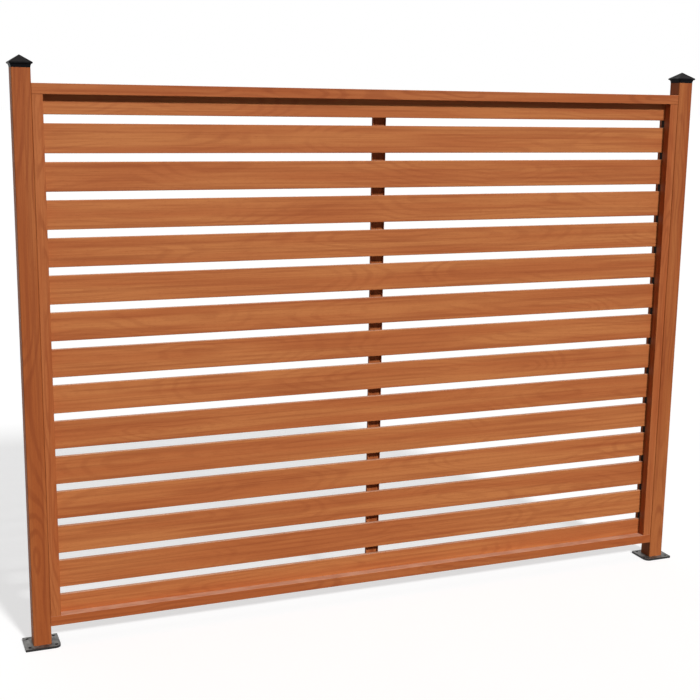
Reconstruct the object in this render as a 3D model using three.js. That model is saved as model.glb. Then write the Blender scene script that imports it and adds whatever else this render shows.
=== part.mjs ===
// Garden privacy screen: a framed panel of fifteen horizontal slats between two square posts.
// Millimetres, +Z up. The origin is on the ground under the middle of the panel. X runs along the
// screen, and the front faces -Y.

import * as THREE from 'three';

// Driving dimensions.
const panelWidth = 2416.6;
const panelHeight = 1800;
const groundClearance = 70;      // from the ground to the underside of the bottom rail
const seatGap = 0.3;             // between two pieces that touch

const postSize = 60;             // square post, outside
const postWall = 2;
const postCornerRadius = 4;
const postAbovePanel = 46;       // post top over the top rail

const frameFace = 34;            // height of a rail's face, width of a side channel's face
const frameSetback = 1.8;        // frame face behind the post's face
const ledgeDepth = 32.5;         // hollow front part of the frame section
const rearLedgeDepth = 13.4;     // hollow part behind the slats
const frameWall = 1.6;
const frameCornerRadius = 1.5;

const slatCount = 15;
const slatHeight = 94.3;
const slatThickness = 16;
const slatWall = 1.5;
const slatCornerRadius = 2;
const slatEndPlay = 1;           // between a slat's end and the web of the side channel

const spacerWall = 2.5;

const braceWidth = 50;
const braceDepth = 10;
const braceWall = 2;
const braceOffset = -6;          // a little left of the middle

const plateWidth = 118;
const plateDepth = 104;
const plateThickness = 8;
const plateRoundCorner = 20;     // the front corner towards the panel
const plateSquareCorner = 3;
const plateHoleRadius = 5.5;
const plateHoleInset = 15;       // from the plate's edges to a hole's centre

const sleeveWall = 4;
const sleeveHeight = 90;

const capHalfWidth = 36.5;       // overhanging lip
const capLipHeight = 4.5;
const capNeckHeight = 12;        // cove from the post up to the lip
const capRoofHeight = 23;
const capWall = 2.2;
const capPlugDepth = 22;         // plug that goes down into the post

// Places worked out from them.
const pitch = (panelHeight - 2 * (frameWall + seatGap) - slatHeight) / (slatCount - 1);
const slatGap = pitch - slatHeight;
const panelBottom = groundClearance;
const panelTop = groundClearance + panelHeight;
const postTop = panelTop + postAbovePanel;
const postX = panelWidth / 2 + seatGap + postSize / 2;
const frameFront = -postSize / 2 + frameSetback;
const pocketDepth = slatThickness + 2 * seatGap;
const frameDepth = ledgeDepth + pocketDepth + rearLedgeDepth;
const frameBack = frameFront + frameDepth;
const slatFront = frameFront + ledgeDepth + seatGap;
const slatBack = slatFront + slatThickness;
const slatLength = panelWidth - 2 * (frameWall + slatEndPlay);

const finishes = {
  woodGrain: { color: '#a8623c', roughness: 0.5, metalness: 0.0 },
  blackCap: { color: '#1d1d1e', roughness: 0.45, metalness: 0.2 },
  greyPlate: { color: '#85837f', roughness: 0.5, metalness: 0.8 },
  blackPlastic: { color: '#17120f', roughness: 0.6, metalness: 0.0 },
};

const screen = new THREE.Group();

function addPiece(name, geometry, finish, parent = screen) {
  const mesh = new THREE.Mesh(geometry, new THREE.MeshStandardMaterial(finishes[finish]));
  mesh.name = name;
  parent.add(mesh);
  return mesh;
}

// A rectangle from (x0, y0) to (x1, y1) with its own radius at each corner: lower left, lower right,
// upper right, upper left.
function roundedRectangle(path, x0, y0, x1, y1, radii) {
  const [a, b, c, d] = radii;
  path.moveTo(x0 + a, y0);
  path.lineTo(x1 - b, y0);
  path.absarc(x1 - b, y0 + b, b, -Math.PI / 2, 0);
  path.lineTo(x1, y1 - c);
  path.absarc(x1 - c, y1 - c, c, 0, Math.PI / 2);
  path.lineTo(x0 + d, y1);
  path.absarc(x0 + d, y1 - d, d, Math.PI / 2, Math.PI);
  path.lineTo(x0, y0 + a);
  path.absarc(x0 + a, y0 + a, a, Math.PI, 1.5 * Math.PI);
  return path;
}

function sameCorners(radius) {
  return [radius, radius, radius, radius];
}

function rectangularHole(x0, y0, x1, y1) {
  const corners = [[x0, y0], [x1, y0], [x1, y1], [x0, y1]];
  return new THREE.Path(corners.map(([x, y]) => new THREE.Vector2(x, y)));
}

function extrude(shape, depth, curveSegments = 3) {
  return new THREE.ExtrudeGeometry(shape, { depth, bevelEnabled: false, curveSegments });
}

// A square tube that stands on z = 0, centred on the Z axis.
function squareTube(size, wall, radius, height) {
  const half = size / 2;
  const inner = half - wall;
  const shape = roundedRectangle(new THREE.Shape(), -half, -half, half, half, sameCorners(radius));
  const innerCorners = sameCorners(radius - wall);
  shape.holes.push(roundedRectangle(new THREE.Path(), -inner, -inner, inner, inner, innerCorners));
  return extrude(shape, height, 4);
}

// The frame's section, shared by rails and side channels. Across (first axis) runs from the outer web
// to the edge by the opening, and back (second axis) from the face to the rear. A hollow ledge stands
// in front, a thinner one at the rear, and the slats go into the open pocket between them.
function frameSection() {
  const edge = frameFace;
  const r = frameCornerRadius;
  const pocketFront = ledgeDepth;
  const pocketBack = ledgeDepth + pocketDepth;
  const shape = new THREE.Shape();
  shape.moveTo(r, 0);
  shape.lineTo(edge - r, 0);
  shape.absarc(edge - r, r, r, -Math.PI / 2, 0);
  shape.lineTo(edge, pocketFront);
  shape.lineTo(frameWall, pocketFront);
  shape.lineTo(frameWall, pocketBack);
  shape.lineTo(edge, pocketBack);
  shape.lineTo(edge, frameDepth);
  shape.lineTo(r, frameDepth);
  shape.absarc(r, frameDepth - r, r, Math.PI / 2, Math.PI);
  shape.lineTo(0, r);
  shape.absarc(r, r, r, Math.PI, 1.5 * Math.PI);
  const hollowEnd = edge - frameWall;
  for (const [front, rear] of [[0, pocketFront], [pocketBack, frameDepth]]) {
    shape.holes.push(rectangularHole(frameWall, front + frameWall, hollowEnd, rear - frameWall));
  }
  return shape;
}

// A length of frame that starts at a point, runs along one direction, and has its pocket open towards
// another. Back is always +Y.
function frameLength(length, start, along, across) {
  const back = new THREE.Vector3(0, 1, 0);
  const geometry = extrude(frameSection(), length);
  const turned = new THREE.Matrix4().makeBasis(across, back, along);
  turned.setPosition(start);
  geometry.applyMatrix4(turned);
  return geometry;
}

function buildPosts() {
  for (const [side, sign] of [['left', -1], ['right', 1]]) {
    const bottom = plateThickness + seatGap;
    const tube = squareTube(postSize, postWall, postCornerRadius, postTop - bottom);
    addPiece(`${side}_post`, tube, 'woodGrain').position.set(sign * postX, 0, bottom);
  }
}

// Along, across and back make a right-handed set for each rail and channel, so a mirrored piece runs
// the other way along its length.
function buildFrame() {
  const half = panelWidth / 2;
  const xPlus = new THREE.Vector3(1, 0, 0);
  const xMinus = new THREE.Vector3(-1, 0, 0);
  const up = new THREE.Vector3(0, 0, 1);
  const down = new THREE.Vector3(0, 0, -1);
  const corner = (x, z) => new THREE.Vector3(x, frameFront, z);
  addPiece('top_rail', frameLength(panelWidth, corner(-half, panelTop), xPlus, down), 'woodGrain');
  addPiece('bottom_rail', frameLength(panelWidth, corner(half, panelBottom), xMinus, up), 'woodGrain');

  const uprightBottom = panelBottom + frameFace + seatGap;
  const uprightTop = panelTop - frameFace - seatGap;
  const length = uprightTop - uprightBottom;
  const left = frameLength(length, corner(-half, uprightBottom), up, xPlus);
  const right = frameLength(length, corner(half, uprightTop), down, xMinus);
  addPiece('left_side_channel', left, 'woodGrain');
  addPiece('right_side_channel', right, 'woodGrain');
}

// A slat is a box extrusion with one web across the middle, so it has two cells.
function slatGeometry() {
  const shape = new THREE.Shape();
  roundedRectangle(shape, 0, 0, slatThickness, slatHeight, sameCorners(slatCornerRadius));
  const cellHeight = (slatHeight - 3 * slatWall) / 2;
  for (const bottom of [slatWall, 2 * slatWall + cellHeight]) {
    const back = slatThickness - slatWall;
    shape.holes.push(rectangularHole(slatWall, bottom, back, bottom + cellHeight));
  }
  const geometry = extrude(shape, slatLength);
  const back = new THREE.Vector3(0, 1, 0);
  const up = new THREE.Vector3(0, 0, 1);
  const along = new THREE.Vector3(1, 0, 0);
  return geometry.applyMatrix4(new THREE.Matrix4().makeBasis(back, up, along));
}

function slatBottom(number) {
  return panelTop - frameWall - seatGap - slatHeight - (number - 1) * pitch;
}

function twoDigits(number) {
  return String(number).padStart(2, '0');
}

function buildSlats() {
  for (let number = 1; number <= slatCount; number += 1) {
    const slat = addPiece(`slat_${twoDigits(number)}`, slatGeometry(), 'woodGrain');
    slat.position.set(-slatLength / 2, slatFront, slatBottom(number));
  }
}

// A moulded spacer: a C in plan that fills the pocket, with its closed end flush with the channel.
function spacerGeometry() {
  const length = frameFace - frameWall - slatEndPlay;
  const height = slatGap - 2 * seatGap;
  const inner = spacerWall;
  const shape = new THREE.Shape();
  shape.moveTo(0, 0);
  shape.lineTo(length, 0);
  shape.lineTo(length, slatThickness);
  shape.lineTo(0, slatThickness);
  shape.lineTo(0, slatThickness - inner);
  shape.lineTo(length - inner, slatThickness - inner);
  shape.lineTo(length - inner, inner);
  shape.lineTo(0, inner);
  shape.closePath();
  return extrude(shape, height);
}

function buildSpacers() {
  const webFace = panelWidth / 2 - frameWall - slatEndPlay;
  for (let number = 1; number < slatCount; number += 1) {
    const z = slatBottom(number) - slatGap + seatGap;
    const left = addPiece(`left_spacer_${twoDigits(number)}`, spacerGeometry(), 'blackPlastic');
    left.position.set(-webFace, slatFront, z);
    const right = addPiece(`right_spacer_${twoDigits(number)}`, spacerGeometry(), 'blackPlastic');
    right.position.set(webFace, slatBack, z);
    right.rotation.z = Math.PI;
  }
}

// The brace is a shallow channel across the backs of both rails, open towards the slats.
function buildBrace() {
  const half = braceWidth / 2;
  const inner = half - braceWall;
  const webFront = braceDepth - braceWall;
  const shape = new THREE.Shape();
  shape.moveTo(-half, 0);
  shape.lineTo(-inner, 0);
  shape.lineTo(-inner, webFront);
  shape.lineTo(inner, webFront);
  shape.lineTo(inner, 0);
  shape.lineTo(half, 0);
  shape.lineTo(half, braceDepth);
  shape.lineTo(-half, braceDepth);
  shape.closePath();
  const brace = addPiece('centre_brace', extrude(shape, panelHeight), 'woodGrain');
  brace.position.set(braceOffset, frameBack + seatGap, panelBottom);
}

function basePlateGeometry(sign) {
  const halfX = plateWidth / 2;
  const halfY = plateDepth / 2;
  const shape = new THREE.Shape();
  const frontLeft = sign > 0 ? plateRoundCorner : plateSquareCorner;
  const frontRight = sign > 0 ? plateSquareCorner : plateRoundCorner;
  const radii = [frontLeft, frontRight, plateSquareCorner, plateSquareCorner];
  roundedRectangle(shape, -halfX, -halfY, halfX, halfY, radii);
  for (const x of [-1, 1]) {
    for (const y of [-1, 1]) {
      const hole = new THREE.Path();
      const centreX = x * (halfX - plateHoleInset);
      const centreY = y * (halfY - plateHoleInset);
      hole.absarc(centreX, centreY, plateHoleRadius, 0, 2 * Math.PI, true);
      shape.holes.push(hole);
    }
  }
  return extrude(shape, plateThickness, 8);
}

function buildBases() {
  const sleeveSize = postSize - 2 * (postWall + seatGap);
  for (const [side, sign] of [['left', -1], ['right', 1]]) {
    addPiece(`${side}_base_plate`, basePlateGeometry(sign), 'greyPlate').position.x = sign * postX;
    const sleeve = squareTube(sleeveSize, sleeveWall, sleeveWall + 1, sleeveHeight);
    const sleeveBottom = plateThickness + seatGap;
    addPiece(`${side}_post_sleeve`, sleeve, 'greyPlate').position.set(sign * postX, 0, sleeveBottom);
  }
}

// One square ring of a loft, counter-clockwise from above, with its corners cut by short arcs.
function squareRing({ half, radius, z }) {
  const ring = [];
  const steps = 3;
  for (let corner = 0; corner < 4; corner += 1) {
    const middle = Math.PI / 4 + (corner * Math.PI) / 2;
    const centre = (half - radius) * Math.SQRT2;
    for (let step = 0; step <= steps; step += 1) {
      const angle = middle + ((step / steps - 0.5) * Math.PI) / 2;
      const x = centre * Math.cos(middle) + radius * Math.cos(angle);
      const y = centre * Math.sin(middle) + radius * Math.sin(angle);
      ring.push(new THREE.Vector3(x, y, z));
    }
  }
  return ring;
}

// A closed skin over a stack of rings, with a point above the first ring and another at the last.
function loft(sections, firstPoint, lastPoint) {
  const rings = sections.map(squareRing);
  const count = rings[0].length;
  const triangles = [];
  for (let i = 0; i < count; i += 1) {
    const next = (i + 1) % count;
    triangles.push(firstPoint, rings[0][i], rings[0][next]);
    for (let level = 1; level < rings.length; level += 1) {
      const above = rings[level - 1];
      const below = rings[level];
      triangles.push(above[i], below[i], below[next]);
      triangles.push(above[i], below[next], above[next]);
    }
    const last = rings[rings.length - 1];
    triangles.push(last[i], lastPoint, last[next]);
  }
  const geometry = new THREE.BufferGeometry().setFromPoints(triangles);
  geometry.computeVertexNormals();
  return geometry;
}

// The cap is one hollow casting: a pyramid roof, a lip, a cove down to the post, and a plug inside it.
function capGeometry() {
  const postHalf = postSize / 2;
  const plugHalf = postHalf - postWall - 2 * seatGap;
  const lipBottom = capNeckHeight;
  const lipTop = lipBottom + capLipHeight;
  const apex = lipTop + capRoofHeight;
  const sections = [
    { half: 1.5, radius: 1, z: apex - 0.6 },
    { half: capHalfWidth - 0.8, radius: 2, z: lipTop + 0.5 },
    { half: capHalfWidth, radius: 2.5, z: lipTop - 0.3 },
    { half: capHalfWidth, radius: 2.5, z: lipBottom + 0.6 },
    { half: capHalfWidth - 1, radius: 2.5, z: lipBottom },
  ];
  const coveSteps = 4;
  const coveReach = capHalfWidth - 2 - postHalf;
  for (let step = 0; step <= coveSteps; step += 1) {
    const angle = (step / coveSteps) * (Math.PI / 2);
    const half = postHalf + coveReach * (1 - Math.sin(angle));
    const z = (lipBottom - 0.4) * Math.cos(angle) ** 1.2;
    sections.push({ half, radius: postCornerRadius, z });
  }
  const innerHalf = plugHalf - capWall;
  sections.push(
    { half: plugHalf, radius: 2, z: 0 },
    { half: plugHalf, radius: 2, z: -capPlugDepth },
    { half: innerHalf, radius: 1, z: -capPlugDepth },
    { half: innerHalf, radius: 1, z: lipTop - capWall },
    { half: 1.5, radius: 1, z: lipTop - capWall + capRoofHeight * 0.7 },
  );
  const top = new THREE.Vector3(0, 0, apex);
  const hollowTop = new THREE.Vector3(0, 0, lipTop - capWall + capRoofHeight * 0.7 + 0.5);
  return loft(sections, top, hollowTop);
}

function buildCaps() {
  for (const [side, sign] of [['left', -1], ['right', 1]]) {
    const cap = addPiece(`${side}_post_cap`, capGeometry(), 'blackCap');
    cap.position.set(sign * postX, 0, postTop + seatGap);
  }
}

buildPosts();
buildFrame();
buildSlats();
buildSpacers();
buildBrace();
buildBases();
buildCaps();

export default screen;
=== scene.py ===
# Garden privacy screen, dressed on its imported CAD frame. Metres, +Z up, the front faces -Y.

import math

import bpy
from mathutils import Matrix, Vector


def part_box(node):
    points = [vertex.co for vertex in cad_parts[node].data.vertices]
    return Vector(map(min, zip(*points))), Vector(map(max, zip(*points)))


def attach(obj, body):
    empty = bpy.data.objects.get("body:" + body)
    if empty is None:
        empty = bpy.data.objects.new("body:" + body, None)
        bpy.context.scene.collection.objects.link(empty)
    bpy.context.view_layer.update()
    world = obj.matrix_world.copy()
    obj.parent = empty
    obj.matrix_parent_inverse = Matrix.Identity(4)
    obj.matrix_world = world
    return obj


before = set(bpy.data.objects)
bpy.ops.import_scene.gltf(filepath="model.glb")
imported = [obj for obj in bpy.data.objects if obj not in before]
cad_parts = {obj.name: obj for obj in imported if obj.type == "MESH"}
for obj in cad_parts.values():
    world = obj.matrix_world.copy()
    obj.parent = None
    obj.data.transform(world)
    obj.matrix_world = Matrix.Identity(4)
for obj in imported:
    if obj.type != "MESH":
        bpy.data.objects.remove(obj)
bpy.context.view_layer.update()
bpy.ops.object.select_all(action="DESELECT")

# ---------------------------------------------------------------------------------------------------
# Posts. Square aluminium tubes wrapped in a printed wood-grain film, which is baked on after the tube
# is extruded. The grain runs up the post, with long cathedral figures. Two screws low on the back of
# each post hold it to the steel sleeve inside.

POST_TONE = (0.352, 0.088, 0.020, 1)
POST_STREAK = (0.226, 0.046, 0.010, 1)
POST_PALE = (0.418, 0.127, 0.034, 1)
POST_FIGURE = 0.50
FIRST_POST_BOARD = 3
UPRIGHT = (0, math.radians(90), 0)

BOARD_SHIFT = (9.0, 0.9, 0.9)
HEART_SWING = 0.26
HEART_DIP = 0.24
HEART_START = -0.07
RING_RADIANS_PER_METRE = 430.0
RING_BEND = 9.0
STREAK_SHARE = 0.42
FIBRE_SHARE = 0.34
PORE_SHARE = 0.55
PORE_RELIEF = -0.7
FIBRE_RELIEF = 0.5

# Faces turned upwards go pale: a little dust, and on the film mostly a painted sheen of the light they
# catch.
DUST_AND_SHEEN_COLOUR = (0.82, 0.53, 0.38, 1)
FILM_DUST_AND_SHEEN = 0.54
FILM_SHEEN = 0.20
FILM_RUB_WIDTH = 0.0012
FILM_RUB_SHARE = 0.35

SCREW_HEAD_RADIUS = 0.0042
SCREW_HEAD_HEIGHT = 0.0022
SCREW_SIDES = 16
SCREW_CROWN_BEVEL = SCREW_HEAD_RADIUS * 0.35
SCREW_RECESS_RIM = SCREW_HEAD_RADIUS * 0.30
SCREW_RECESS_DEPTH = 0.0012
SCREW_DARK = (0.40, 0.40, 0.41, 1)
SCREW_LIGHT = (0.60, 0.59, 0.57, 1)
SLEEVE_SCREW_RISES = (0.030, 0.066)
FACING = 0.9


def add_node(tree, kind, inputs, **settings):
    """A node with its settings; an input is a value, or an output socket to link from."""
    made = tree.nodes.new(kind)
    for name, value in settings.items():
        setattr(made, name, value)
    for socket, value in inputs.items():
        if isinstance(value, bpy.types.NodeSocket):
            tree.links.new(value, made.inputs[socket])
        else:
            made.inputs[socket].default_value = value
    return made


def calculate(tree, operation, first, second=0.0, third=0.0):
    """The result socket of one Math node."""
    inputs = {0: first, 1: second, 2: third}
    return add_node(tree, "ShaderNodeMath", inputs, operation=operation).outputs[0]


def blend_colours(tree, share, first, second):
    """The result socket of a colour Mix node. Its colour sockets are inputs 6 and 7, output 2."""
    inputs = {0: share, 6: first, 7: second}
    return add_node(tree, "ShaderNodeMix", inputs, data_type="RGBA").outputs[2]


def remap(tree, value, low, high, new_low=0.0, new_high=1.0):
    """A value moved smoothly from one range to another."""
    inputs = {"Value": value, "From Min": low, "From Max": high}
    inputs.update({"To Min": new_low, "To Max": new_high})
    made = add_node(tree, "ShaderNodeMapRange", inputs, interpolation_type="SMOOTHSTEP")
    return made.outputs["Result"]


def stretched_noise(tree, vector, stretch, detail, roughness=0.5):
    """Noise drawn out along the grain: stretch holds its frequency along each axis, per metre."""
    scaled = add_node(tree, "ShaderNodeVectorMath", {0: vector, 1: stretch}, operation="MULTIPLY")
    inputs = {"Vector": scaled.outputs[0], "Scale": 1.0, "Detail": detail, "Roughness": roughness}
    return add_node(tree, "ShaderNodeTexNoise", inputs).outputs["Fac"]


def even_noise(tree, vector, frequency, detail, roughness=0.5):
    """Noise that is the same in every direction."""
    return stretched_noise(tree, vector, (frequency, frequency, frequency), detail, roughness)


def start_group(name, inputs, outputs):
    """An empty shader group with named sockets, and its input and output nodes."""
    tree = bpy.data.node_groups.new(name, "ShaderNodeTree")
    for socket, kind in inputs:
        tree.interface.new_socket(socket, in_out="INPUT", socket_type=kind)
    for socket, kind in outputs:
        tree.interface.new_socket(socket, in_out="OUTPUT", socket_type=kind)
    return tree, tree.nodes.new("NodeGroupInput"), tree.nodes.new("NodeGroupOutput")


def make_wood_grain_group():
    """Printed wood grain along X: growth rings, broad tone, fibres and pores, one board at a time."""
    sockets_in = [
        ("Vector", "NodeSocketVector"),
        ("Board", "NodeSocketFloat"),
        ("Figure", "NodeSocketFloat"),
        ("Tone", "NodeSocketColor"),
        ("Streak", "NodeSocketColor"),
        ("Pale", "NodeSocketColor"),
    ]
    sockets_out = [
        ("Color", "NodeSocketColor"),
        ("Roughness", "NodeSocketFloat"),
        ("Height", "NodeSocketFloat"),
    ]
    tree, given, result = start_group("Printed wood grain", sockets_in, sockets_out)
    board = given.outputs["Board"]
    chance = add_node(tree, "ShaderNodeTexWhiteNoise", {"W": board}, noise_dimensions="1D")
    shift = add_node(
        tree,
        "ShaderNodeVectorMath",
        {0: chance.outputs["Color"], 1: BOARD_SHIFT, 2: given.outputs["Vector"]},
        operation="MULTIPLY_ADD",
    )
    place = shift.outputs[0]

    # The heart of the tree lies near the board's face and wanders along it, which opens the rings to
    # arches. A finer noise bends them, and patches break them up.
    wander = stretched_noise(tree, place, stretch=(0.9, 0.4, 0.4), detail=2.0)
    dive = stretched_noise(tree, place, stretch=(1.7, 0.4, 0.4), detail=1.0)
    parts = add_node(tree, "ShaderNodeSeparateXYZ", {"Vector": given.outputs["Vector"]})
    heart_side = calculate(tree, "MULTIPLY_ADD", wander, HEART_SWING, -HEART_SWING / 2)
    heart_depth = calculate(tree, "MULTIPLY_ADD", dive, HEART_DIP, HEART_START)
    across = calculate(tree, "ADD", parts.outputs["Z"], heart_side)
    depth = calculate(tree, "ADD", parts.outputs["Y"], heart_depth)
    squares = calculate(tree, "MULTIPLY", across, across)
    squares = calculate(tree, "MULTIPLY_ADD", depth, depth, squares)
    radius = calculate(tree, "SQRT", squares)
    bend = stretched_noise(tree, place, stretch=(3.0, 26.0, 26.0), detail=3.0)
    bend = calculate(tree, "MULTIPLY", bend, RING_BEND)
    phase = calculate(tree, "MULTIPLY_ADD", radius, RING_RADIANS_PER_METRE, bend)
    rings = remap(tree, calculate(tree, "SINE", phase), low=-0.1, high=1.0)
    patches = stretched_noise(tree, place, stretch=(2.6, 17.0, 17.0), detail=2.0)
    late_wood = calculate(tree, "MULTIPLY", rings, remap(tree, patches, low=0.34, high=0.62))

    broad = stretched_noise(tree, place, stretch=(1.1, 22.0, 22.0), detail=3.0)
    streaks = stretched_noise(tree, place, stretch=(1.5, 95.0, 95.0), detail=3.0)
    fibre = stretched_noise(tree, place, stretch=(3.5, 420.0, 420.0), detail=3.0, roughness=0.6)
    pore_field = stretched_noise(tree, place, stretch=(48.0, 1500.0, 1500.0), detail=1.0)
    pores = remap(tree, pore_field, low=0.62, high=0.74)

    # Darker marks are laid over the broad tone one after the other, from rings down to pores.
    pale_share = remap(tree, broad, low=0.36, high=0.66)
    colour = blend_colours(tree, pale_share, given.outputs["Tone"], given.outputs["Pale"])
    dark_shares = (
        calculate(tree, "MULTIPLY", late_wood, given.outputs["Figure"]),
        remap(tree, streaks, low=0.46, high=0.70, new_high=STREAK_SHARE),
        remap(tree, fibre, low=0.46, high=0.72, new_high=FIBRE_SHARE),
        calculate(tree, "MULTIPLY", pores, PORE_SHARE),
    )
    for share in dark_shares:
        colour = blend_colours(tree, share, colour, given.outputs["Streak"])

    fibre_relief = calculate(tree, "MULTIPLY", fibre, FIBRE_RELIEF)
    relief = calculate(tree, "MULTIPLY_ADD", pores, PORE_RELIEF, fibre_relief)
    roughness = remap(tree, fibre, low=0.3, high=0.7, new_low=0.52, new_high=0.68)
    tree.links.new(colour, result.inputs["Color"])
    tree.links.new(roughness, result.inputs["Roughness"])
    tree.links.new(relief, result.inputs["Height"])
    return tree


def make_edge_group():
    """How near a point is to a sharp edge, as a mask that noise breaks up, for rubbed or darkened
    edges.
    """
    sockets_in = [("Vector", "NodeSocketVector"), ("Width", "NodeSocketFloat")]
    sockets_out = [("Mask", "NodeSocketFloat")]
    tree, given, result = start_group("Rubbed edges", sockets_in, sockets_out)
    bevel = add_node(tree, "ShaderNodeBevel", {"Radius": given.outputs["Width"]}, samples=4)
    sharp = add_node(tree, "ShaderNodeNewGeometry", {}).outputs["Normal"]
    normals = {0: bevel.outputs["Normal"], 1: sharp}
    likeness = add_node(tree, "ShaderNodeVectorMath", normals, operation="DOT_PRODUCT")
    edge = remap(tree, likeness.outputs["Value"], low=0.99, high=0.80)
    patches = even_noise(tree, given.outputs["Vector"], frequency=60.0, detail=3.0)
    mask = calculate(tree, "MULTIPLY", edge, remap(tree, patches, low=0.42, high=0.62))
    tree.links.new(mask, result.inputs["Mask"])
    return tree


def find_upward(tree):
    """How far a face looks up: 1 for a level top, -1 for an underside."""
    normal = add_node(tree, "ShaderNodeNewGeometry", {}).outputs["Normal"]
    return add_node(tree, "ShaderNodeSeparateXYZ", {"Vector": normal}).outputs["Z"]


def make_dust_and_sheen_group():
    """Pale on faces turned upwards, thin and uneven: dust, and on the film a painted sheen too."""
    sockets_in = [("Vector", "NodeSocketVector"), ("Amount", "NodeSocketFloat")]
    sockets_out = [("Mask", "NodeSocketFloat")]
    tree, given, result = start_group("Dust and painted sheen", sockets_in, sockets_out)
    level = remap(tree, find_upward(tree), low=0.5, high=0.95)
    upward_amount = calculate(tree, "MULTIPLY", level, given.outputs["Amount"])
    patches = stretched_noise(
        tree, given.outputs["Vector"], stretch=(14.0, 40.0, 40.0), detail=4.0
    )
    uneven = remap(tree, patches, low=0.3, high=0.7, new_low=0.6, new_high=1.0)
    tree.links.new(calculate(tree, "MULTIPLY", upward_amount, uneven), result.inputs["Mask"])
    return tree


wood_grain = make_wood_grain_group()
rubbed_edges = make_edge_group()
dust_and_sheen_group = make_dust_and_sheen_group()


def start_material(name):
    """A new material, its tree, its Principled shader and its Object coordinates."""
    material = bpy.data.materials.new(name)
    material.use_nodes = True
    tree = material.node_tree
    coordinates = tree.nodes.new("ShaderNodeTexCoord").outputs["Object"]
    return material, tree, tree.nodes["Principled BSDF"], coordinates


def use_group(tree, group, inputs):
    """One of the shared groups, placed in a material with this material's own values."""
    return add_node(tree, "ShaderNodeGroup", inputs, node_tree=group)


def link_surface(tree, shader, colour, roughness):
    """Links a material's colour and roughness to its shader."""
    tree.links.new(colour, shader.inputs["Base Color"])
    tree.links.new(roughness, shader.inputs["Roughness"])


def add_bump(tree, shader, height, strength, distance):
    """Fine relief on the surface. Distance is the depth of the relief at full strength."""
    inputs = {"Height": height, "Strength": strength, "Distance": distance}
    bump = add_node(tree, "ShaderNodeBump", inputs)
    tree.links.new(bump.outputs["Normal"], shader.inputs["Normal"])


def node_middle(name):
    """The middle of a CAD node's box."""
    low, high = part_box(name)
    return (low + high) / 2


def make_film_material(name, tones, turn, figure, find_board):
    """Wood-grain film. Turn lays the grain along the piece. find_board gives, for a tree and its
    coordinates, the board's number and middle, so that each piece has its own cut of the grain."""
    material, tree, shader, coordinates = start_material(name)
    number, middle = find_board(tree, coordinates)
    centred = add_node(
        tree, "ShaderNodeVectorMath", {0: coordinates, 1: middle}, operation="SUBTRACT"
    )
    turned = add_node(tree, "ShaderNodeMapping", {"Vector": centred.outputs[0], "Rotation": turn})
    tone, streak, pale = tones
    inputs = {"Vector": turned.outputs[0], "Board": number, "Figure": figure}
    inputs.update({"Tone": tone, "Streak": streak, "Pale": pale})
    grain = use_group(tree, wood_grain, inputs)
    # Upward faces such as slat tops and rail ledges go pale: partly dust, mostly a painted sheen of
    # caught light.
    dust_and_sheen = use_group(tree, dust_and_sheen_group, {"Vector": coordinates, "Amount": FILM_DUST_AND_SHEEN})
    edge_mask = use_group(tree, rubbed_edges, {"Vector": coordinates, "Width": FILM_RUB_WIDTH})
    rubbed = calculate(tree, "MULTIPLY", edge_mask.outputs["Mask"], FILM_RUB_SHARE)
    colour = blend_colours(tree, rubbed, grain.outputs["Color"], pale)
    colour = blend_colours(tree, dust_and_sheen.outputs["Mask"], colour, DUST_AND_SHEEN_COLOUR)
    link_surface(tree, shader, colour, grain.outputs["Roughness"])
    add_bump(tree, shader, grain.outputs["Height"], strength=0.25, distance=0.0003)
    shader.inputs["Specular IOR Level"].default_value = FILM_SHEEN
    return material


def dress(material, *names):
    """Gives CAD nodes their material, in the slot that each came with."""
    for name in names:
        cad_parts[name].material_slots[0].material = material


def wrap_in_film(name, tones, turn, figure, number):
    """One CAD node wrapped in film as a board of its own."""
    film = make_film_material(
        f"{name} film", tones, turn, figure, lambda tree, coordinates: (number, node_middle(name))
    )
    dress(film, name)


post_tones = (POST_TONE, POST_STREAK, POST_PALE)
for number, side in enumerate(("left", "right"), start=FIRST_POST_BOARD):
    wrap_in_film(f"{side}_post", post_tones, UPRIGHT, POST_FIGURE, number)


def make_screw_material():
    """Zinc-plated steel, a little mottled."""
    material, tree, shader, coordinates = start_material("zinc-plated screw")
    patches = even_noise(tree, coordinates, frequency=900.0, detail=3.0)
    colour = blend_colours(tree, patches, SCREW_DARK, SCREW_LIGHT)
    roughness = remap(tree, patches, low=0.3, high=0.7, new_low=0.28, new_high=0.46)
    link_surface(tree, shader, colour, roughness)
    shader.inputs["Metallic"].default_value = 1.0
    return material


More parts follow.
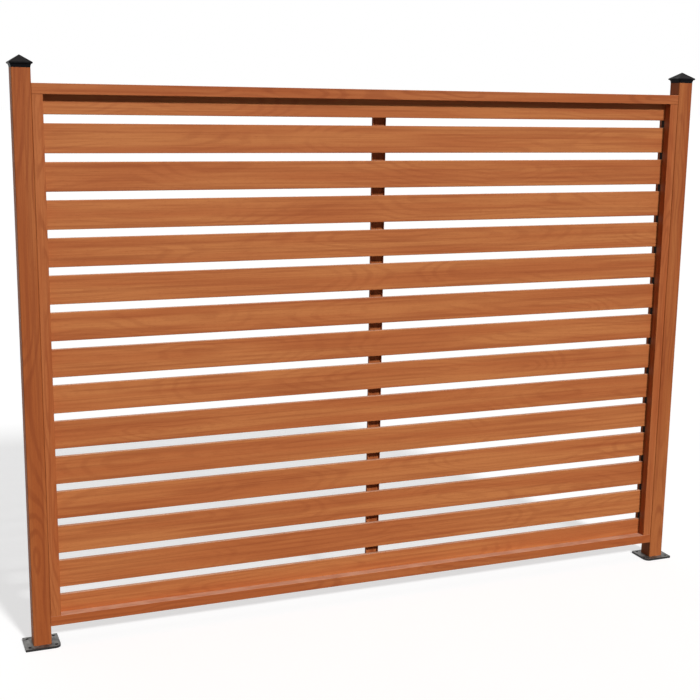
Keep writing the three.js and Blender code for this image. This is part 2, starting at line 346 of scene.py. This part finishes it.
def model_screw():
    """One pan head that looks to +Y and sits on the origin: a bevelled crown and a round recess."""
    bpy.ops.mesh.primitive_cylinder_add(
        vertices=SCREW_SIDES,
        radius=SCREW_HEAD_RADIUS,
        depth=SCREW_HEAD_HEIGHT,
        location=(0, SCREW_HEAD_HEIGHT / 2, 0),
        rotation=(math.radians(-90), 0, 0),
    )
    screw = bpy.context.object
    bpy.ops.object.transform_apply(location=True, rotation=True, scale=True)
    bpy.ops.object.mode_set(mode="EDIT")
    bpy.ops.mesh.select_all(action="DESELECT")
    bpy.ops.object.mode_set(mode="OBJECT")
    for face in screw.data.polygons:
        face.select = face.normal.y > FACING
    bpy.ops.object.mode_set(mode="EDIT")
    bpy.ops.mesh.bevel(offset=SCREW_CROWN_BEVEL, segments=3, affect="EDGES")
    bpy.ops.mesh.select_all(action="DESELECT")
    bpy.ops.object.mode_set(mode="OBJECT")
    crown = max(screw.data.polygons, key=lambda face: face.center.y)
    crown.select = True
    bpy.ops.object.mode_set(mode="EDIT")
    bpy.ops.mesh.inset(thickness=SCREW_RECESS_RIM)
    bpy.ops.transform.translate(value=(0, -SCREW_RECESS_DEPTH, 0))
    bpy.ops.mesh.select_all(action="SELECT")
    bpy.ops.mesh.normals_make_consistent(inside=False)
    bpy.ops.object.mode_set(mode="OBJECT")
    screw.data.materials.append(make_screw_material())
    bpy.ops.object.select_all(action="DESELECT")
    return screw


pattern_screw = model_screw()


def seat_screw(name, x, y, z):
    """A copy of the screw, with a mesh of its own, seated on a face that looks to +Y."""
    pattern_screw.select_set(True)
    bpy.context.view_layer.objects.active = pattern_screw
    bpy.ops.object.duplicate(linked=False)
    screw = bpy.context.object
    screw.name = name
    bpy.ops.transform.translate(value=(x, y, z))
    bpy.ops.object.transform_apply(location=True, rotation=False, scale=False)
    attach(screw, "root")
    bpy.ops.object.select_all(action="DESELECT")


for side in ("left", "right"):
    low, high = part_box(f"{side}_post")
    middle = (low.x + high.x) / 2
    for number, rise in enumerate(SLEEVE_SCREW_RISES):
        seat_screw(f"{side}_sleeve_screw_{number + 1}", middle, high.y, low.z + rise)

# ---------------------------------------------------------------------------------------------------
# Frame. Two rails and two side channels cut from one aluminium extrusion, with the same film as the
# posts. The channels butt between the rails, and the joints show as thin dark lines.

FRAME_TONE = (0.394, 0.100, 0.025, 1)
FRAME_STREAK = (0.258, 0.054, 0.012, 1)
FRAME_PALE = (0.458, 0.143, 0.042, 1)
FRAME_FIGURE = 0.44
FIRST_RAIL_BOARD = 11
FIRST_CHANNEL_BOARD = 21
LENGTHWISE = (0, 0, 0)

frame_tones = (FRAME_TONE, FRAME_STREAK, FRAME_PALE)
for number, name in enumerate(("top_rail", "bottom_rail"), start=FIRST_RAIL_BOARD):
    wrap_in_film(name, frame_tones, LENGTHWISE, FRAME_FIGURE, number)
for number, side in enumerate(("left", "right"), start=FIRST_CHANNEL_BOARD):
    wrap_in_film(f"{side}_side_channel", frame_tones, UPRIGHT, FRAME_FIGURE, number)

# ---------------------------------------------------------------------------------------------------
# Slats. Fifteen thin box extrusions with the film's grain along them. They come from one roll, so the
# tone varies a little from slat to slat. Each end stands loose in the side channel's pocket.

SLAT_TONE = (0.442, 0.128, 0.036, 1)
SLAT_STREAK = (0.268, 0.057, 0.014, 1)
SLAT_PALE = (0.516, 0.178, 0.053, 1)
SLAT_FIGURE = 0.22
SLAT_COUNT = 15

top_slat_middle = node_middle("slat_01")
slat_pitch = top_slat_middle.z - node_middle("slat_02").z


def find_slat(tree, coordinates):
    """The number of the slat that a point is on, counted from the top, and that slat's middle."""
    top = top_slat_middle
    height = add_node(tree, "ShaderNodeSeparateXYZ", {"Vector": coordinates}).outputs["Z"]
    below = calculate(tree, "DIVIDE", calculate(tree, "SUBTRACT", top.z, height), slat_pitch)
    number = calculate(tree, "ROUND", below)
    middle_height = calculate(tree, "MULTIPLY_ADD", number, -slat_pitch, top.z)
    inputs = {"X": top.x, "Y": top.y, "Z": middle_height}
    return number, add_node(tree, "ShaderNodeCombineXYZ", inputs).outputs[0]


slat_tones = (SLAT_TONE, SLAT_STREAK, SLAT_PALE)
slat_film = make_film_material("slat film", slat_tones, LENGTHWISE, SLAT_FIGURE, find_slat)
dress(slat_film, *[f"slat_{number:02d}" for number in range(1, SLAT_COUNT + 1)])

# ---------------------------------------------------------------------------------------------------
# Spacers. Injection-moulded black plastic, pushed into the side channels' pockets between the slats,
# which hold them by friction. The surface is finely sparked from the mould.

SPACER_DARK = (0.016, 0.008, 0.005, 1)
SPACER_LIGHT = (0.026, 0.014, 0.009, 1)
BLACK_SHEEN = 0.05


def make_spacer_material():
    """Black plastic with a fine, dull grain."""
    material, tree, shader, coordinates = start_material("moulded black plastic")
    spark = even_noise(tree, coordinates, frequency=1800.0, detail=2.0)
    broad = even_noise(tree, coordinates, frequency=40.0, detail=3.0)
    colour = blend_colours(tree, broad, SPACER_DARK, SPACER_LIGHT)
    roughness = remap(tree, spark, low=0.3, high=0.7, new_low=0.50, new_high=0.66)
    link_surface(tree, shader, colour, roughness)
    add_bump(tree, shader, spark, strength=0.3, distance=0.0001)
    shader.inputs["Specular IOR Level"].default_value = BLACK_SHEEN
    return material


spacer_plastic = make_spacer_material()
for side in ("left", "right"):
    dress(spacer_plastic, *[f"{side}_spacer_{number:02d}" for number in range(1, SLAT_COUNT)])

# ---------------------------------------------------------------------------------------------------
# Centre brace. A shallow aluminium channel, in the same film, across the backs of both rails, which
# ties them together near their middles. Two zinc-plated screws go through its web into each rail.

BRACE_BOARD = 31
BRACE_SCREW_REACH = 0.0125

wrap_in_film("centre_brace", frame_tones, UPRIGHT, FRAME_FIGURE, BRACE_BOARD)
brace_middle = node_middle("centre_brace").x
brace_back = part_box("centre_brace")[1].y
for rail in ("top_rail", "bottom_rail"):
    rail_height = node_middle(rail).z
    for place, reach in (("left", -BRACE_SCREW_REACH), ("right", BRACE_SCREW_REACH)):
        seat_screw(f"brace_screw_{rail}_{place}", brace_middle + reach, brace_back, rail_height)
bpy.data.objects.remove(pattern_screw)

# ---------------------------------------------------------------------------------------------------
# Base plates and sleeves. Mild steel plate and a short square tube welded upright on it, dipped grey.
# The top is worn and dull, and the upright faces and edges are darkened nearly black.

PLATE_DARK = (0.072, 0.069, 0.066, 1)
PLATE_LIGHT = (0.228, 0.220, 0.208, 1)
PLATE_SCUFF = (0.42, 0.41, 0.39, 1)
PLATE_SCUFF_SHARE = 0.4
# Near black, laid on the plates' upright faces and along their edges.
PLATE_EDGE = (0.018, 0.016, 0.015, 1)
PLATE_EDGE_WIDTH = 0.0035
PLATE_METALNESS = 0.55


def make_plate_material():
    """Worn grey steel with scuffs, darkened nearly black on upright faces and along edges."""
    material, tree, shader, coordinates = start_material("dull grey steel")
    mottle = even_noise(tree, coordinates, frequency=45.0, detail=5.0, roughness=0.6)
    scuffs = stretched_noise(tree, coordinates, stretch=(260.0, 40.0, 260.0), detail=2.0)
    light_share = remap(tree, mottle, low=0.38, high=0.62)
    colour = blend_colours(tree, light_share, PLATE_DARK, PLATE_LIGHT)
    scuff_share = remap(tree, scuffs, low=0.60, high=0.75, new_high=PLATE_SCUFF_SHARE)
    colour = blend_colours(tree, scuff_share, colour, PLATE_SCUFF)
    # Upright faces and edges are darkened nearly black.
    upright_faces = remap(tree, calculate(tree, "ABSOLUTE", find_upward(tree)), low=0.8, high=0.3)
    edge_mask = use_group(tree, rubbed_edges, {"Vector": coordinates, "Width": PLATE_EDGE_WIDTH})
    dark = calculate(tree, "MAXIMUM", upright_faces, edge_mask.outputs["Mask"])
    colour = blend_colours(tree, dark, colour, PLATE_EDGE)
    roughness = remap(tree, mottle, low=0.3, high=0.7, new_low=0.36, new_high=0.58)
    link_surface(tree, shader, colour, roughness)
    add_bump(tree, shader, mottle, strength=0.3, distance=0.0006)
    shader.inputs["Metallic"].default_value = PLATE_METALNESS
    return material


dull_steel = make_plate_material()
for side in ("left", "right"):
    dress(dull_steel, f"{side}_base_plate", f"{side}_post_sleeve")

# ---------------------------------------------------------------------------------------------------
# Post caps. One black casting each: a pyramid roof, a lip that throws the rain off, and a plug that is
# pressed into the post. Satin powder coat with fine orange peel, and a trace of dust on the roof.

CAP_DARK = (0.003, 0.003, 0.004, 1)
CAP_LIGHT = (0.007, 0.007, 0.008, 1)
CAP_RUBBED = (0.07, 0.07, 0.07, 1)
CAP_RUB_WIDTH = 0.0010
CAP_RUB_SHARE = 0.3
CAP_DUST = 0.008


def make_cap_material():
    """Black powder coat, rubbed a little paler on its edges."""
    material, tree, shader, coordinates = start_material("black powder coat")
    peel = even_noise(tree, coordinates, frequency=700.0, detail=2.0)
    broad = even_noise(tree, coordinates, frequency=50.0, detail=4.0)
    colour = blend_colours(tree, broad, CAP_DARK, CAP_LIGHT)
    dust_and_sheen = use_group(tree, dust_and_sheen_group, {"Vector": coordinates, "Amount": CAP_DUST})
    edge_mask = use_group(tree, rubbed_edges, {"Vector": coordinates, "Width": CAP_RUB_WIDTH})
    rubbed = calculate(tree, "MULTIPLY", edge_mask.outputs["Mask"], CAP_RUB_SHARE)
    colour = blend_colours(tree, rubbed, colour, CAP_RUBBED)
    colour = blend_colours(tree, dust_and_sheen.outputs["Mask"], colour, DUST_AND_SHEEN_COLOUR)
    roughness = remap(tree, broad, low=0.3, high=0.7, new_low=0.38, new_high=0.52)
    link_surface(tree, shader, colour, roughness)
    add_bump(tree, shader, peel, strength=0.25, distance=0.0002)
    shader.inputs["Specular IOR Level"].default_value = BLACK_SHEEN
    return material


dress(make_cap_material(), "left_post_cap", "right_post_cap")

# ---------------------------------------------------------------------------------------------------
# Floor, light and camera. A plain pale floor, one soft lamp in front and a little to the right, and a
# surround that looks white and lights the object weakly from above and behind. The camera stands left
# of the middle at about the height of the top rail.

FLOOR_WIDTH = 600.0
FLOOR_DARK = (0.49, 0.49, 0.49, 1)
FLOOR_LIGHT = (0.51, 0.51, 0.51, 1)
FLOOR_BOUNCE = (0.14, 0.14, 0.14, 1)
FLOOR_WHITENING = 0.60
FLOOR_ROUGHNESS = 0.9
FLOOR_SHEEN = 0.1
WHITE = (1, 1, 1, 1)
WHITE_STRENGTH = 1.0
GROUND_LIGHT = 0.02
SKY_LIGHT = 0.30
BACK_LIGHT = 0.30
LAMP_SOFTNESS = math.radians(6)
LAMP_STRENGTH = 3.1
LAMP_TURN = math.radians(10)
LAMP_RISE = math.radians(34)
CAMERA_PLACE = (-1.7196, -3.9844, 1.8086)
CAMERA_TURN = math.radians(-21.87)
CAMERA_TILT = math.radians(78.73)
CAMERA_ROLL = math.radians(0.77)
CAMERA_LENS = 62.65
CAMERA_SENSOR = 36.0


def find_seen_rays(tree):
    """1 for the rays that look at the background, straight on, mirrored or through glass."""
    rays = add_node(tree, "ShaderNodeLightPath", {}).outputs
    seen = calculate(tree, "MAXIMUM", rays["Is Camera Ray"], rays["Is Glossy Ray"])
    return calculate(tree, "MAXIMUM", seen, rays["Is Transmission Ray"])


bpy.ops.mesh.primitive_plane_add(size=FLOOR_WIDTH)
floor = bpy.context.object
floor.name = "floor"
floor_paint, floor_tree, floor_shader, floor_coordinates = start_material("pale floor")
floor_tone = even_noise(floor_tree, floor_coordinates, frequency=1.5, detail=2.0)
floor_colour = blend_colours(floor_tree, floor_tone, FLOOR_DARK, FLOOR_LIGHT)
floor_seen = find_seen_rays(floor_tree)
floor_colour = blend_colours(floor_tree, floor_seen, FLOOR_BOUNCE, floor_colour)
floor_tree.links.new(floor_colour, floor_shader.inputs["Base Color"])
whitening = calculate(floor_tree, "MULTIPLY", floor_seen, FLOOR_WHITENING)
floor_tree.links.new(whitening, floor_shader.inputs["Emission Strength"])
floor_shader.inputs["Emission Color"].default_value = WHITE
floor_shader.inputs["Roughness"].default_value = FLOOR_ROUGHNESS
floor_shader.inputs["Specular IOR Level"].default_value = FLOOR_SHEEN
floor.data.materials.append(floor_paint)

towards_lamp = Vector(
    (
        math.sin(LAMP_TURN) * math.cos(LAMP_RISE),
        -math.cos(LAMP_TURN) * math.cos(LAMP_RISE),
        math.sin(LAMP_RISE),
    )
)
lamp_data = bpy.data.lights.new("front lamp", "SUN")
lamp_data.energy = LAMP_STRENGTH
lamp_data.angle = LAMP_SOFTNESS
lamp = bpy.data.objects.new("front lamp", lamp_data)
lamp.rotation_mode = "QUATERNION"
lamp.rotation_quaternion = towards_lamp.to_track_quat("Z", "Y")
bpy.context.scene.collection.objects.link(lamp)

world = bpy.data.worlds.new("white surround")
bpy.context.scene.world = world
world.use_nodes = True
sky = world.node_tree
background = sky.nodes["Background"]
direction = add_node(sky, "ShaderNodeTexCoord", {}).outputs["Generated"]
parts = add_node(sky, "ShaderNodeSeparateXYZ", {"Vector": direction}).outputs
from_above = remap(
    sky, parts["Z"], low=-0.1, high=0.95, new_low=GROUND_LIGHT, new_high=SKY_LIGHT
)
from_behind = remap(sky, parts["Y"], low=0.45, high=1.0, new_high=BACK_LIGHT)
fill = calculate(sky, "ADD", from_above, from_behind)
choice = {0: find_seen_rays(sky), 2: fill, 3: WHITE_STRENGTH}
strength = add_node(sky, "ShaderNodeMix", choice, data_type="FLOAT")
sky.links.new(strength.outputs[0], background.inputs["Strength"])
background.inputs["Color"].default_value = WHITE

camera_data = bpy.data.cameras.new("camera")
camera_data.lens = CAMERA_LENS
camera_data.sensor_width = CAMERA_SENSOR
camera_data.clip_end = FLOOR_WIDTH
camera = bpy.data.objects.new("camera", camera_data)
bpy.context.scene.collection.objects.link(camera)
camera.matrix_world = (
    Matrix.Translation(CAMERA_PLACE)
    @ Matrix.Rotation(CAMERA_TURN, 4, "Z")
    @ Matrix.Rotation(CAMERA_TILT, 4, "X")
    @ Matrix.Rotation(CAMERA_ROLL, 4, "Z")
)
bpy.context.scene.camera = camera
bpy.context.scene.view_settings.view_transform = "Standard"
